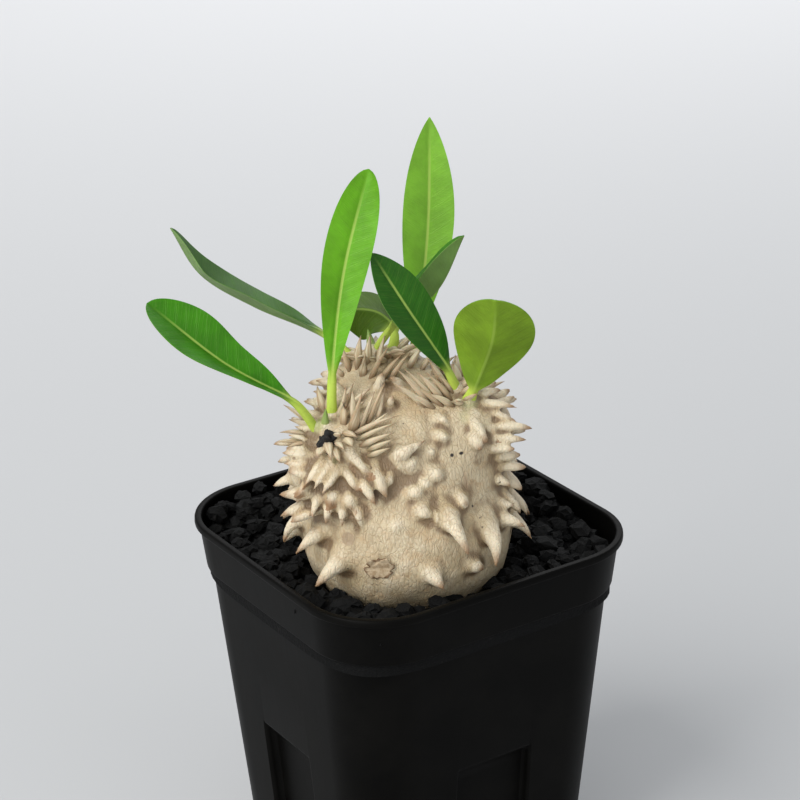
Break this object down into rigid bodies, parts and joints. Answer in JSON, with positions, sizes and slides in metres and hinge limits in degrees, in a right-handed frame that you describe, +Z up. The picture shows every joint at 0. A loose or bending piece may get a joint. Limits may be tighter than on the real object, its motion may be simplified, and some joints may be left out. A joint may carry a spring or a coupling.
{
  "type": "potted plant",
  "caption": "Young spiny caudex succulent with long green leaves, growing in a square black nursery pot dressed with dark lava gravel.",
  "frame": {"origin": "centre of the pot's flat underside, where it rests on a surface", "axes": "+Z up along the pot's axis; +X and +Y square to the pot's sides; the plant's front faces between -X and -Y, 33 degrees round from -Y towards -X"},
  "size_m": [0.1067, 0.0914, 0.1946],
  "materials": {
    "pot_plastic": "satin black moulded plastic",
    "soil": "dark damp gritty soil",
    "lava_gravel": "rough charcoal-black lava stones",
    "caudex_bark": "cream to tan wrinkled bark, slightly silky, with paler horny spines",
    "dry_stub": "dried black cut scar",
    "bud_green": "waxy yellow-green living tissue",
    "leaf_green": "satin green leaf with paler midrib and veins"
  },
  "bodies": {
    "root": {"pot": "pot_plastic", "substrate": "soil", "gravel": "lava_gravel", "caudex": "caudex_bark", "stub": "dry_stub", "bud_left": "bud_green", "bud_right": "bud_green", "bud_back": "bud_green", "leaf_1": "leaf_green", "leaf_2": "leaf_green", "leaf_3": "leaf_green", "leaf_4": "leaf_green", "leaf_5": "leaf_green", "leaf_6": "leaf_green", "leaf_7": "leaf_green", "leaf_8": "leaf_green"}
  },
  "joints": []
}
